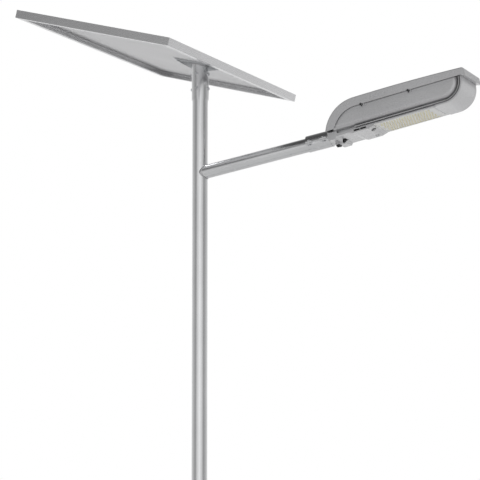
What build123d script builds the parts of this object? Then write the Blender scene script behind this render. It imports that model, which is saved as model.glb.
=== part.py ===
"""Solar street lamp: a round steel post with a raked side arm, a framed solar module on a
pole-top sleeve, and a box-shaped LED lamp head clamped to the end of the arm.

Origin: centre of the post's foot, on the ground. +Z is up and +X is the side of the arm.
The lamp head is drawn in its own frame, called the head frame: +X along the head towards its
tip, +Z out of its lid, origin on the arm's axis where the clamp ends.
"""
import math
import os
from build123d import *

# ---- driving dimensions, in millimetres and degrees --------------------------------------
POLE_DIAMETER = 76.1
POLE_WALL = 3.2
ARM_HEIGHT = 3450.0            # height of the point where the arm's axis meets the post's axis
SLEEVE_TOP = 540.0             # sleeve's top end, above ARM_HEIGHT, on the post's axis
SLEEVE_LENGTH = 177.0
SLEEVE_WALL = 3.4
SLEEVE_FIT = 0.1               # radial running fit of the sleeve on the post
POLE_TOP_GAP = 14.0            # the post ends this far under the sleeve's top

BASE_PLATE_SIDE = 400.0
BASE_PLATE_THICKNESS = 18.0
BASE_HOLE_SPACING = 300.0
BASE_HOLE_RADIUS = 11.0
BASE_GUSSET_HEIGHT = 130.0
BASE_GUSSET_REACH = 85.0
BASE_GUSSET_THICKNESS = 8.0
BASE_WELD = 6.0

ARM_DIAMETER = 67.0
ARM_WALL = 3.0
ARM_RAKE = 10.7                # the arm climbs away from the post at this angle
ARM_LENGTH = 672.0             # from the post's axis, along the arm
ARM_WELD = 3.0

MODULE_WIDTH = 808.0           # down the slope
MODULE_LENGTH = 1580.0         # across the slope
MODULE_DEPTH = 37.0
MODULE_TILT = 14.0
MODULE_HIGH_SIDE = 603.0       # from the module's high edge to the post's axis, down the slope
FRAME_LIP = 35.0
FRAME_WALL = 1.8
FRAME_POCKET = 6.0             # depth of the slot that holds the laminate
GLASS_THICKNESS = 3.2
CELL_SIDE = 125.0
CELL_PITCH = 127.5
CELL_COLUMNS = 12
CELL_ROWS = 6
CELL_CORNER = 12.0
CELL_THICKNESS = 0.3
BACK_SHEET_THICKNESS = 1.0
ENCAPSULANT = 0.6              # the layer between glass and cells, and cells and back sheet

SADDLE_LENGTH = 250.0          # down the slope
SADDLE_WIDTH = 100.0           # across the slope
SADDLE_THICKNESS = 6.0
DOUBLER_LENGTH = 270.0
DOUBLER_WIDTH = 110.0
DOUBLER_THICKNESS = 3.0
SADDLE_GUSSET_DROP = 26.0
SADDLE_GUSSET_THICKNESS = 8.0

HEAD_EXTRA_RAKE = 1.4          # the head climbs this much more than the arm
HEAD_START = 700.0             # head frame's origin, along the arm
CLAMP_LENGTH = 122.0
CLAMP_OUTER_RADIUS = 40.0
CLAMP_OFFSET = 3.2             # the clamp's outside is this much higher than the arm's axis
CLAMP_FIT = 0.1

LID_HALF_WIDTH = 145.0
LID_TIP = 726.0
LID_TOP = 132.0
LID_TIP_TOP = 123.0
LID_WALL = 3.0
LID_TIP_ROUNDING = 12.0        # of the two upright corners at the tip
LID_PARTING = 90.0             # height of the lid's lower edge
LID_SKIRT_END = 10.0           # height at which the lid's pole end stops
BACK_RADIUS = 176.0            # quarter round of the lid's pole end
BACK_CENTRE_X = 187.0

TUB_HALF_WIDTH = 134.0
TUB_WALL = 3.0
TUB_START = 58.0
TUB_BACK_RADIUS = 154.0        # quarter round of the tub's pole end, behind the lid's skirt
HEEL_CLEARANCE = 3.0           # between the tub's heel and the lid that swings past it
TUB_ROUNDING = 20.0            # of the edges along its floor and up its tip
NOSE_CENTRE_X = 603.0          # the tub, the fin and the nose share this centre
NOSE_CENTRE_Z = 86.0
NOSE_RADIUS = 102.0
NOSE_WALL = 8.0
NOSE_HALF_WIDTH = 128.0
FIN_OUTER_RADIUS = 90.0
FIN_THICKNESS = 3.0
FIN_HALF_WIDTH = 131.0
TUB_RADIUS = 80.0
BASE_HALF_WIDTH = 117.0

LED_START = 247.0
LED_END = 544.0
LED_HALF_WIDTH = 112.0
LED_PITCH_X = 13.0
LED_PITCH_Y = 28.0
LED_SIZE_X = 6.5
LED_SIZE_Y = 12.0
LED_HEIGHT = 1.4
BOARD_THICKNESS = 2.0
BEZEL_BORDER = 5.0
BEZEL_TIP_BORDER = 22.0
BEZEL_THICKNESS = 3.5

HINGE_PIN_DIAMETER = 5.0
HINGE_KNUCKLE_DIAMETER = 10.0
LATCH_POSITIONS = (217.0, 451.0)
LATCH_DIAMETER = 8.0
LATCH_HEAD_RADIUS = 5.5
CATCH_THICKNESS = 1.8
LATCH_FIT = 0.08
GAP = 0.3                      # between bodies that move past each other
BUTTON_TRAVEL = 2.0

SET_SCREW_LEVELS = (50.0, 122.0)      # below the sleeve's top
SET_SCREW_DIAMETER = 10.0
SET_SCREW_HEAD = 13.0
SET_SCREW_HEAD_HEIGHT = 4.5
SET_SCREW_BOSS = 2.0
SADDLE_BOLT = 10.0
SADDLE_BOLT_INSET = 18.0
JUNCTION_LENGTH = 64.0
JUNCTION_WIDTH = 50.0
JUNCTION_HEIGHT = 16.0
JUNCTION_LID = 3.0
JUNCTION_SPOT = (-36.0, 88.0)  # from the post's axis: behind the post, clear of the doubler
JUNCTION_GLAND_X = (-15.0, 15.0)
CLAMP_FLANGE = 13.0
CLAMP_FLANGE_THICKNESS = 7.0
CLAMP_SPLIT = 1.0
CLAMP_BOLT = 8.0
HINGE_X = (200.0, 600.0)
HINGE_WIDTH = 60.0
CAM_WIDTH = 5.0
CAM_REACH = 10.0
CAM_THICKNESS = 2.0
CONTROLLER_START = 150.0
CONTROLLER_END = 246.0
CONTROLLER_HALF_WIDTH = 70.0
CONTROLLER_HEIGHT = 32.0
CONTROLLER_GROOVE_PITCH = 15.0
DRIVER_HALF_WIDTH = 60.0
DRIVER_HEIGHT = 18.0
BOX_SLOT_COUNT = 2
BOX_SLOT_PITCH = 32.0
BOX_SLOT_LENGTH = 29.0
BOX_SLOT_X = 180.0
BOX_SLOT_Z = (-20.5, -12.5)
UPSTAND_HALF_WIDTH = 95.0
FIN_START = 160.0
STRAP_FOOT = 9.0
BATTERY_START = 262.0
BATTERY_LENGTH = 330.0
BATTERY_HALF_WIDTH = 104.0
BATTERY_HEIGHT = 62.0
RIB_Y = (-90.0, -60.0, -30.0, 0.0, 30.0, 60.0, 90.0)
BOX_START = 126.0
BOX_FLOOR_START = 142.0
BOX_FLOOR_END = 214.0
BOX_END = 246.0
BOX_BOTTOM = -26.0
WAIST_BOTTOM = -20.0
NECK_START = 18.0
NECK_END = 54.0
NECK_BOTTOM = -31.0
PAD_BOTTOM = -39.0             # flat seats under the neck for the gland and the vent
PAD_DEPTH = 10.0
PAD_MARGIN = 4.0
BASE_WALL = 4.0
SENSOR_X = 231.0
SENSOR_Y = -74.0
SENSOR_LENS_RADIUS = 12.0
SENSOR_HOUSING_LENGTH = 54.0
SENSOR_HOUSING_WIDTH = 30.0
SENSOR_HOUSING_HEIGHT = 7.0
BUTTON_RADIUS = 7.0
GLAND_RADIUS = 6.0
VENT_RADIUS = 4.0

# ---- sizes that follow from those above --------------------------------------------------
POLE_RADIUS = POLE_DIAMETER / 2
ARM_RADIUS = ARM_DIAMETER / 2
SLEEVE_INNER = POLE_RADIUS + SLEEVE_FIT
SLEEVE_OUTER = SLEEVE_INNER + SLEEVE_WALL
BACK_CENTRE_Z = LID_TOP - BACK_RADIUS
SKIRT_DEPTH = LID_TOP - LID_PARTING
NOSE_BOTTOM = NOSE_CENTRE_Z - NOSE_RADIUS
TUB_BOTTOM = NOSE_CENTRE_Z - TUB_RADIUS
TUB_END = NOSE_CENTRE_X + TUB_RADIUS
TUB_TOP = LID_PARTING + 1
NECK_TOP = TUB_BOTTOM - 0.5
TUB_SHOULDER_X = BACK_CENTRE_X - math.sqrt(TUB_BACK_RADIUS ** 2 - (TUB_TOP - BACK_CENTRE_Z) ** 2)
LED_SEAT = NOSE_BOTTOM + 4     # the face that the LED board lies on
BACK_FACE = MODULE_DEPTH - 7   # the module's back sheet, above the frame's lower face

ARM_FRAME = Pos(0, 0, ARM_HEIGHT) * Rot(0, -ARM_RAKE, 0)
HEAD_FRAME = ARM_FRAME * Pos(HEAD_START, 0, 0) * Rot(0, -HEAD_EXTRA_RAKE, 0)

# The module's frame: +X down the slope, +Z out of the glass. Its origin is the point of the
# post's axis that lies on the saddle's underside.
MODULE_FRAME = Pos(0, 0, ARM_HEIGHT + SLEEVE_TOP) * Rot(0, MODULE_TILT, 0)
SADDLE_TOP = SADDLE_THICKNESS
DOUBLER_TOP = SADDLE_TOP + DOUBLER_THICKNESS
MODULE_BOTTOM = DOUBLER_TOP - BACK_FACE    # the frame's lower face, in the module's frame
MODULE_X0 = -MODULE_HIGH_SIDE
MODULE_X1 = MODULE_X0 + MODULE_WIDTH

LAMINATE_TOP = MODULE_BOTTOM + MODULE_DEPTH - FRAME_WALL
GLASS_BOTTOM = LAMINATE_TOP - GLASS_THICKNESS
CELL_TOP = GLASS_BOTTOM - ENCAPSULANT
CELL_BOTTOM = CELL_TOP - CELL_THICKNESS
BACK_BOTTOM = DOUBLER_TOP
HINGE_Y = LID_HALF_WIDTH + HINGE_KNUCKLE_DIAMETER / 2 + GAP
HINGE_Z = LID_PARTING - 1.0
LATCH_Z = LID_PARTING - 1.0
TUB_FLOOR = TUB_BOTTOM + TUB_WALL
BASE_TOP = NOSE_CENTRE_Z - (NOSE_RADIUS - NOSE_WALL)
BUTTON_SPOT = Pos(200, 84, BOX_BOTTOM) * Rot(180, 0, 0)
GLAND_SPOT = Pos(29, -18, PAD_BOTTOM) * Rot(180, 0, 0)
VENT_SPOT = Pos(29, 14, PAD_BOTTOM) * Rot(180, 0, 0)

parts = {}


def side_face(*edges):
    """A face in the X-Z plane from edges drawn with X and Z as their two coordinates."""
    return Plane.XZ * make_face(edges)


def side_solid(half_width, *edges):
    return extrude(side_face(*edges), amount=half_width, both=True)


def box(x0, x1, y0, y1, z0, z1):
    return Pos((x0 + x1) / 2, (y0 + y1) / 2, (z0 + z1) / 2) * Box(x1 - x0, y1 - y0, z1 - z0)


def arc_height(radius, centre_z, z):
    """Half chord of a circle at height z: how far the circle reaches sideways there."""
    return math.sqrt(radius ** 2 - (z - centre_z) ** 2)


def hex_bolt(diameter, length, head_width, head_height):
    """Shank along -Z from the origin, head along +Z."""
    head = extrude(RegularPolygon(head_width / 2, 6, major_radius=False), amount=head_height)
    head = chamfer(head.faces().sort_by(Axis.Z)[-1].edges(), head_height * 0.15)
    return head + Pos(0, 0, -length / 2) * Cylinder(diameter / 2, length)


# ---- post --------------------------------------------------------------------------------

def make_base_plate():
    plate = box(-BASE_PLATE_SIDE / 2, BASE_PLATE_SIDE / 2, -BASE_PLATE_SIDE / 2,
                BASE_PLATE_SIDE / 2, 0, BASE_PLATE_THICKNESS)
    plate = fillet(plate.edges().filter_by(Axis.Z), 18)
    for spot in GridLocations(BASE_HOLE_SPACING, BASE_HOLE_SPACING, 2, 2):
        plate -= spot * Cylinder(BASE_HOLE_RADIUS, BASE_PLATE_THICKNESS * 3)
    plate -= Cylinder(POLE_RADIUS - POLE_WALL, BASE_PLATE_THICKNESS * 3)
    return chamfer(plate.faces().sort_by(Axis.Z)[-1].outer_wire().edges(), 1.5)


def make_pole():
    top = ARM_HEIGHT + SLEEVE_TOP - POLE_TOP_GAP
    height = top - BASE_PLATE_THICKNESS
    tube = Pos(0, 0, BASE_PLATE_THICKNESS + height / 2) * Cylinder(POLE_RADIUS, height)
    tube -= Pos(0, 0, height / 2) * Cylinder(POLE_RADIUS - POLE_WALL, height * 2)
    wire_hole = Pos(0, 0, ARM_HEIGHT) * Rot(0, 90 - ARM_RAKE, 0) * Pos(0, 0, POLE_RADIUS)
    return tube - wire_hole * Cylinder(14, POLE_RADIUS)


def make_base_gussets():
    z0 = BASE_PLATE_THICKNESS
    x0 = POLE_RADIUS
    gusset = side_solid(
        BASE_GUSSET_THICKNESS / 2,
        Polyline((x0 - 2, z0), (x0 + BASE_GUSSET_REACH, z0), (x0 + BASE_GUSSET_REACH, z0 + 14),
                 (x0 + 10, z0 + BASE_GUSSET_HEIGHT), (x0 - 2, z0 + BASE_GUSSET_HEIGHT), close=True),
    )
    gusset -= Pos(0, 0, z0 + BASE_GUSSET_HEIGHT / 2) * Cylinder(POLE_RADIUS, BASE_GUSSET_HEIGHT * 2)
    return [Rot(0, 0, 45 + 90 * turn) * gusset for turn in range(4)]


def make_base_weld():
    size = BASE_WELD
    ring = revolve(side_face(Polyline((POLE_RADIUS, BASE_PLATE_THICKNESS),
                                      (POLE_RADIUS + size, BASE_PLATE_THICKNESS),
                                      (POLE_RADIUS, BASE_PLATE_THICKNESS + size), close=True)), Axis.Z)
    for gusset in make_base_gussets():
        ring -= gusset
    return ring.solids()


def make_arm():
    arm = ARM_FRAME * Rot(0, 90, 0) * Pos(0, 0, ARM_LENGTH / 2) * Cylinder(ARM_RADIUS, ARM_LENGTH)
    bore = ARM_FRAME * Rot(0, 90, 0) * Pos(0, 0, ARM_LENGTH / 2)
    arm -= bore * Cylinder(ARM_RADIUS - ARM_WALL, ARM_LENGTH * 2)
    return arm - Pos(0, 0, ARM_HEIGHT) * Cylinder(POLE_RADIUS, ARM_DIAMETER * 3)


def make_arm_weld():
    """A raised bead round the saddle joint of arm and post."""
    bead = ARM_FRAME * Rot(0, 90, 0) * Pos(0, 0, ARM_DIAMETER) * Cylinder(
        ARM_RADIUS + ARM_WELD, ARM_DIAMETER * 2)
    shell = Pos(0, 0, ARM_HEIGHT) * Cylinder(POLE_RADIUS + ARM_WELD, ARM_DIAMETER * 3)
    bead = bead & shell
    bead -= Pos(0, 0, ARM_HEIGHT) * Cylinder(POLE_RADIUS, ARM_DIAMETER * 4)
    return bead - ARM_FRAME * Rot(0, 90, 0) * Pos(0, 0, ARM_LENGTH / 2) * Cylinder(
        ARM_RADIUS, ARM_LENGTH * 2)


# ---- pole-top sleeve and saddle ----------------------------------------------------------


def set_screw_spots():
    for level in SET_SCREW_LEVELS:
        for turn in range(4):
            yield Pos(0, 0, ARM_HEIGHT + SLEEVE_TOP - level) * Rot(0, 0, 90 * turn) * Rot(0, 90, 0)


def under_saddle():
    """Everything above the saddle's underside, to trim what meets it from below."""
    return MODULE_FRAME * box(-300, 300, -300, 300, 0, 300)


def make_sleeve():
    low = ARM_HEIGHT + SLEEVE_TOP - SLEEVE_LENGTH
    height = SLEEVE_LENGTH + SLEEVE_OUTER
    sleeve = Pos(0, 0, low + height / 2) * Cylinder(SLEEVE_OUTER, height)
    for spot in set_screw_spots():
        sleeve += spot * Pos(0, 0, SLEEVE_INNER + (SLEEVE_WALL + SET_SCREW_BOSS) / 2) * Cylinder(
            SET_SCREW_HEAD / 2 + 1, SLEEVE_WALL + SET_SCREW_BOSS)
    sleeve -= Pos(0, 0, low + height / 2) * Cylinder(SLEEVE_INNER, height * 2)
    for spot in set_screw_spots():
        sleeve -= spot * Pos(0, 0, SLEEVE_OUTER) * Cylinder(SET_SCREW_DIAMETER / 2, 40)
    return sleeve - under_saddle()


def make_set_screws():
    """Hexagon screws whose points stop just short of the post, as when they are slackened."""
    reach = SLEEVE_OUTER + SET_SCREW_BOSS
    screw = hex_bolt(SET_SCREW_DIAMETER, reach - POLE_RADIUS - SLEEVE_FIT, SET_SCREW_HEAD,
                     SET_SCREW_HEAD_HEIGHT)
    return [spot * Pos(0, 0, reach) * screw for spot in set_screw_spots()]


def make_saddle():
    plate = box(-SADDLE_LENGTH / 2, SADDLE_LENGTH / 2, -SADDLE_WIDTH / 2, SADDLE_WIDTH / 2,
                0, SADDLE_THICKNESS)
    plate = fillet(plate.edges().filter_by(Axis.Z), 10)
    plate -= Cylinder(16, 60)
    for spot in saddle_bolt_spots():
        plate -= spot * Cylinder(SADDLE_BOLT / 2 + 0.5, 60)
    return MODULE_FRAME * plate


def saddle_bolt_spots():
    return GridLocations(SADDLE_LENGTH - 2 * SADDLE_BOLT_INSET,
                         SADDLE_WIDTH - 2 * SADDLE_BOLT_INSET, 2, 2)


def make_saddle_bolts():
    """Bolts pushed up through the saddle into the doubler's threads."""
    bolt = Rot(180, 0, 0) * hex_bolt(SADDLE_BOLT, SADDLE_THICKNESS + DOUBLER_THICKNESS - 0.5,
                                     17, 7)
    return [MODULE_FRAME * spot * bolt for spot in saddle_bolt_spots()]


def make_saddle_gussets():
    """Two tapered ribs, up and down the slope, between the sleeve and the saddle."""
    reach = SADDLE_LENGTH / 2 - 6
    start = SLEEVE_INNER + 1
    rib = MODULE_FRAME * side_solid(
        SADDLE_GUSSET_THICKNESS / 2,
        Polyline((start, 0), (reach, 0), (reach, -4), (start, -SADDLE_GUSSET_DROP), close=True))
    mirrored = MODULE_FRAME * side_solid(
        SADDLE_GUSSET_THICKNESS / 2,
        Polyline((-start, 0), (-reach, 0), (-reach, -4), (-start, -SADDLE_GUSSET_DROP), close=True))
    sleeve_core = Pos(0, 0, ARM_HEIGHT + SLEEVE_TOP) * Cylinder(SLEEVE_OUTER, 400)
    return [rib - sleeve_core, mirrored - sleeve_core]


def make_sleeve_weld():
    """A bead round the sleeve's top, under the saddle."""
    bead = Pos(0, 0, ARM_HEIGHT + SLEEVE_TOP) * Cylinder(SLEEVE_OUTER + 5, 120)
    bead -= Pos(0, 0, ARM_HEIGHT + SLEEVE_TOP) * Cylinder(SLEEVE_OUTER, 400)
    bead &= MODULE_FRAME * box(-200, 200, -200, 200, -5, 0)
    for gusset in make_saddle_gussets():
        bead -= gusset
    return bead.solids()


# ---- solar module ------------------------------------------------------------------------


def frame_section(length):
    """One frame rail along +X, its outside at Y = 0 and its lower face at Z = 0: an outer
    wall, a lower lip, a slot for the laminate and a hollow web under the slot."""
    slot_floor = BACK_FACE - FRAME_WALL
    rail = box(0, length, 0, FRAME_WALL, 0, MODULE_DEPTH)
    rail += box(0, length, 0, FRAME_LIP, 0, FRAME_WALL)
    rail += box(0, length, 0, FRAME_POCKET + 5, slot_floor, BACK_FACE)
    rail += box(0, length, 0, FRAME_POCKET + 5, MODULE_DEPTH - FRAME_WALL, MODULE_DEPTH)
    rail += box(0, length, FRAME_POCKET + 5 - FRAME_WALL, FRAME_POCKET + 5, slot_floor - 9, slot_floor)
    rail += box(0, length, 0, FRAME_POCKET + 5, slot_floor - 9 - FRAME_WALL, slot_floor - 9)
    return rail


def mitred_rail(length):
    """A frame rail cut at 45 degrees at both ends."""
    rail = frame_section(length)
    for end, turn in ((0, -45), (length, 45)):
        side = -1 if end == 0 else 1
        cutter = Pos(end, 0, 0) * Rot(0, 0, turn) * Pos(side * 100, 0, 0) * Box(200, 400, 200)
        rail -= cutter
    return rail


def make_frame_rails():
    corner = MODULE_FRAME * Pos(MODULE_X0, -MODULE_LENGTH / 2, MODULE_BOTTOM)
    return {
        "module_frame_front_end": corner * mitred_rail(MODULE_WIDTH),
        "module_frame_low_side": corner * Pos(MODULE_WIDTH, 0, 0) * Rot(0, 0, 90)
        * mitred_rail(MODULE_LENGTH),
        "module_frame_rear_end": corner * Pos(MODULE_WIDTH, MODULE_LENGTH, 0) * Rot(0, 0, 180)
        * mitred_rail(MODULE_WIDTH),
        "module_frame_high_side": corner * Pos(0, MODULE_LENGTH, 0) * Rot(0, 0, 270)
        * mitred_rail(MODULE_LENGTH),
    }


def make_corner_keys():
    """L-shaped keys pressed into the hollow webs, which hold the four corners together."""
    z0 = MODULE_BOTTOM + BACK_FACE - FRAME_WALL - 9 + 0.5
    z1 = z0 + 8
    y0 = FRAME_WALL + 0.3
    y1 = FRAME_POCKET + 5 - FRAME_WALL - 0.3
    key = box(y0, 60, y0, y1, z0, z1) + box(y0, y1, y0, 60, z0, z1)
    keys = []
    for x_side, y_side, turn in ((0, 0, 0), (1, 0, 90), (1, 1, 180), (0, 1, 270)):
        spot = Pos(MODULE_X0 + x_side * MODULE_WIDTH, (y_side - 0.5) * MODULE_LENGTH, 0)
        keys.append(MODULE_FRAME * spot * Rot(0, 0, turn) * key)
    return keys


def module_sheet(z0, z1):
    inset = FRAME_WALL + 0.5
    return MODULE_FRAME * box(MODULE_X0 + inset, MODULE_X1 - inset, -MODULE_LENGTH / 2 + inset,
                              MODULE_LENGTH / 2 - inset, z0, z1)


def make_cells():
    """Pseudo-square cells in a grid."""
    half = CELL_SIDE / 2
    cut = CELL_CORNER
    outline = Polyline((-half + cut, -half), (half - cut, -half), (half, -half + cut),
                       (half, half - cut), (half - cut, half), (-half + cut, half),
                       (-half, half - cut), (-half, -half + cut), close=True)
    cell = Pos(0, 0, CELL_BOTTOM) * extrude(make_face(outline), amount=CELL_THICKNESS)
    middle = Pos((MODULE_X0 + MODULE_X1) / 2, 0, 0)
    return [MODULE_FRAME * middle * spot * cell
            for spot in GridLocations(CELL_PITCH, CELL_PITCH, CELL_ROWS, CELL_COLUMNS)]


def make_encapsulant():
    """The clear layer round the cells, between the glass and the back sheet."""
    sheet = module_sheet(BACK_BOTTOM + BACK_SHEET_THICKNESS, GLASS_BOTTOM)
    pocket = CELL_PITCH * CELL_ROWS / 2
    middle = (MODULE_X0 + MODULE_X1) / 2
    half_length = CELL_PITCH * CELL_COLUMNS / 2
    return sheet - MODULE_FRAME * box(middle - pocket, middle + pocket, -half_length, half_length,
                                      CELL_BOTTOM, CELL_TOP)


def make_doubler():
    """A plate bonded to the back sheet, which takes the saddle's bolts."""
    plate = box(-DOUBLER_LENGTH / 2, DOUBLER_LENGTH / 2, -DOUBLER_WIDTH / 2, DOUBLER_WIDTH / 2,
                SADDLE_TOP, DOUBLER_TOP)
    plate = fillet(plate.edges().filter_by(Axis.Z), 12)
    for spot in saddle_bolt_spots():
        plate -= spot * Cylinder(SADDLE_BOLT / 2, 60)
    return MODULE_FRAME * plate


def junction_frame():
    """The junction box hangs under the back sheet, just behind the post."""
    return MODULE_FRAME * Pos(*JUNCTION_SPOT, BACK_BOTTOM)


def make_junction_box():
    body = box(-JUNCTION_LENGTH / 2, JUNCTION_LENGTH / 2, -JUNCTION_WIDTH / 2,
               JUNCTION_WIDTH / 2, -JUNCTION_HEIGHT, 0)
    body = fillet(body.edges().filter_by(Axis.Z), 6)
    body -= box(-JUNCTION_LENGTH / 2 + 2.5, JUNCTION_LENGTH / 2 - 2.5, -JUNCTION_WIDTH / 2 + 2.5,
                JUNCTION_WIDTH / 2 - 2.5, -JUNCTION_HEIGHT - 1, -2.5)
    for x in JUNCTION_GLAND_X:
        body -= Pos(x, JUNCTION_WIDTH / 2, -JUNCTION_HEIGHT / 2) * Rot(90, 0, 0) * Cylinder(4.5, 20)
    return junction_frame() * body


def make_junction_lid():
    lid = box(-JUNCTION_LENGTH / 2, JUNCTION_LENGTH / 2, -JUNCTION_WIDTH / 2,
              JUNCTION_WIDTH / 2, -JUNCTION_HEIGHT - JUNCTION_LID, -JUNCTION_HEIGHT)
    lid = fillet(lid.edges().filter_by(Axis.Z), 6)
    return junction_frame() * chamfer(lid.faces().sort_by(Axis.Z)[0].edges(), 1)


def make_junction_glands():
    gland = Cylinder(4.5, 8) + Pos(0, 0, 9) * Cylinder(6.5, 10) - Cylinder(2.5, 80)
    return [junction_frame() * Pos(x, JUNCTION_WIDTH / 2 - 1, -JUNCTION_HEIGHT / 2)
            * Rot(-90, 0, 0) * gland for x in JUNCTION_GLAND_X]


def module_parts():
    parts.update(make_frame_rails())
    parts["module_corner_keys"] = make_corner_keys()
    parts["module_glass"] = module_sheet(GLASS_BOTTOM, LAMINATE_TOP)
    parts["solar_cells"] = make_cells()
    parts["cell_encapsulant"] = make_encapsulant()
    parts["module_back_sheet"] = module_sheet(BACK_BOTTOM, BACK_BOTTOM + BACK_SHEET_THICKNESS)
    parts["mounting_doubler"] = make_doubler()
    parts["junction_box"] = make_junction_box()
    parts["junction_box_lid"] = make_junction_lid()
    parts["junction_box_glands"] = make_junction_glands()


# ---- lamp head: clamp --------------------------------------------------------------------


def along_arm(x0, x1, radius, raised=0.0):
    return Pos((x0 + x1) / 2, 0, raised) * Rot(0, 90, 0) * Cylinder(radius, x1 - x0)


def clamp_bolt_spots():
    x0 = HEAD_START - CLAMP_LENGTH
    side = CLAMP_OUTER_RADIUS + CLAMP_FLANGE / 2
    for x in (x0 + 20, x0 + CLAMP_LENGTH - 28):
        for y in (-side, side):
            yield Pos(x, y, 0)


def make_clamp_half(upper):
    """Half of the split sleeve that grips the arm's end, with a bolted flange on each side."""
    x0 = HEAD_START - CLAMP_LENGTH
    x1 = HEAD_START
    half = along_arm(x0, x1, CLAMP_OUTER_RADIUS, CLAMP_OFFSET)
    edge = CLAMP_OUTER_RADIUS + CLAMP_FLANGE
    for end in (x0 + 4, x1 - 44):
        half += box(end, end + 32, -edge, edge, -CLAMP_FLANGE_THICKNESS, CLAMP_FLANGE_THICKNESS)
    half -= along_arm(x0 - 1, x1 + 1, ARM_RADIUS + CLAMP_FIT)
    keep = (CLAMP_SPLIT / 2, 90) if upper else (-90, -CLAMP_SPLIT / 2)
    half &= box(x0, x1, -90, 90, keep[0], keep[1])
    for spot in clamp_bolt_spots():
        half -= spot * Cylinder(CLAMP_BOLT / 2 + 0.25, 60)
    return ARM_FRAME * half


def make_clamp_bolts():
    bolt = Rot(180, 0, 0) * hex_bolt(CLAMP_BOLT, CLAMP_FLANGE_THICKNESS * 2 + 5, 13, 5.3)
    nut = Pos(0, 0, CLAMP_FLANGE_THICKNESS) * extrude(
        RegularPolygon(6.5, 6, major_radius=False) - Circle(CLAMP_BOLT / 2), amount=6.5)
    bolts = []
    for spot in clamp_bolt_spots():
        bolts.append(ARM_FRAME * spot * Pos(0, 0, -CLAMP_FLANGE_THICKNESS) * bolt)
        bolts.append(ARM_FRAME * spot * nut)
    return bolts


# ---- lamp head: lid ----------------------------------------------------------------------

def lid_outline(inset):
    """Outer outline of the lid's side view, drawn inwards by the inset, as edges, with its two
    free ends. It runs from the pole end over the crown to the tip."""
    radius = BACK_RADIUS - inset
    centre = (BACK_CENTRE_X, BACK_CENTRE_Z)
    foot_z = LID_SKIRT_END - (0 if inset == 0 else 60)
    foot_angle = 180 - math.degrees(math.asin((foot_z - BACK_CENTRE_Z) / radius))
    back = CenterArc(centre, radius, foot_angle, 90 - foot_angle)
    crown_start = (BACK_CENTRE_X, LID_TOP - inset)
    corner = 10.0 - inset
    tip_x = LID_TIP - inset
    tip_z = LID_TIP_TOP - inset
    crown_middle = ((BACK_CENTRE_X + LID_TIP) / 2, LID_TOP - inset - 0.5)
    crown = ThreePointArc(crown_start, crown_middle, (tip_x - corner, tip_z))
    turn = ThreePointArc((tip_x - corner, tip_z),
                         (tip_x - corner * 0.29, tip_z - corner * 0.29), (tip_x, tip_z - corner))
    foot = (BACK_CENTRE_X - arc_height(radius, BACK_CENTRE_Z, foot_z), foot_z)
    return [back, crown, turn], foot, (tip_x, tip_z - corner)


def tip_corner_cuts(inset):
    """Cuts that round the two upright corners at the tip, of the lid or of its cavity. Each round
    is a little wider than its corner, so that it meets the flat sides at a clear angle."""
    reach = 2 * LID_TIP_ROUNDING
    centre_x = LID_TIP - LID_TIP_ROUNDING
    cuts = []
    for side in (-1, 1):
        centre_y = side * (LID_HALF_WIDTH - LID_TIP_ROUNDING)
        corner = Pos(centre_x + reach / 2, centre_y + side * reach / 2, 0) * Box(
            reach, reach, 4 * LID_TOP)
        cuts.append(corner - Pos(centre_x, centre_y, 0) * Cylinder(
            LID_TIP_ROUNDING + 1 - inset, 5 * LID_TOP))
    return cuts


def lid_cavity():
    edges, foot, tip = lid_outline(LID_WALL)
    low = foot[1]
    cavity = side_solid(LID_HALF_WIDTH - LID_WALL, *edges, Polyline(tip, (tip[0], low), foot))
    for cut in tip_corner_cuts(LID_WALL):
        cavity -= cut
    return cavity


def lid_shell():
    edges, foot, tip = lid_outline(0)
    inner_radius = BACK_RADIUS - SKIRT_DEPTH
    skirt_foot = (BACK_CENTRE_X - arc_height(inner_radius, BACK_CENTRE_Z, LID_SKIRT_END), LID_SKIRT_END)
    skirt_middle_angle = math.radians(135)
    skirt_arc = ThreePointArc(
        (BACK_CENTRE_X, LID_PARTING),
        (BACK_CENTRE_X + inner_radius * math.cos(skirt_middle_angle),
         BACK_CENTRE_Z + inner_radius * math.sin(skirt_middle_angle)),
        skirt_foot)
    lower = Polyline(tip, (LID_TIP, LID_PARTING - 6), (LID_TIP - 22, LID_PARTING),
                     (BACK_CENTRE_X, LID_PARTING))
    shell = side_solid(LID_HALF_WIDTH, *edges, lower, skirt_arc, Line(skirt_foot, foot))
    shell = fillet([edge for edge in shell.edges() if is_lid_rim(edge)], 5)
    for cut in tip_corner_cuts(0):
        shell -= cut
    return shell


def is_lid_rim(edge):
    """True for the edges where the lid's two sides meet its back, crown and tip corner."""
    middle = edge @ 0.5
    on_side = abs(abs(middle.Y) - LID_HALF_WIDTH) < 0.01
    reach = math.hypot(middle.X - BACK_CENTRE_X, middle.Z - BACK_CENTRE_Z)
    return on_side and (middle.Z > LID_PARTING + 12 or abs(reach - BACK_RADIUS) < 1)


def swing_relief():
    """The part of the hinge side's skirt that would swing into the tub's heel as the lid opens."""
    heel = Pos(BACK_CENTRE_X, LID_HALF_WIDTH, BACK_CENTRE_Z) * Rot(90, 0, 0) * Cylinder(
        TUB_BACK_RADIUS + HEEL_CLEARANCE, 6 * LID_WALL)
    return heel & box(0, BACK_CENTRE_X, 0, 2 * LID_HALF_WIDTH, -LID_TOP, LID_PARTING - 8)


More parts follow.
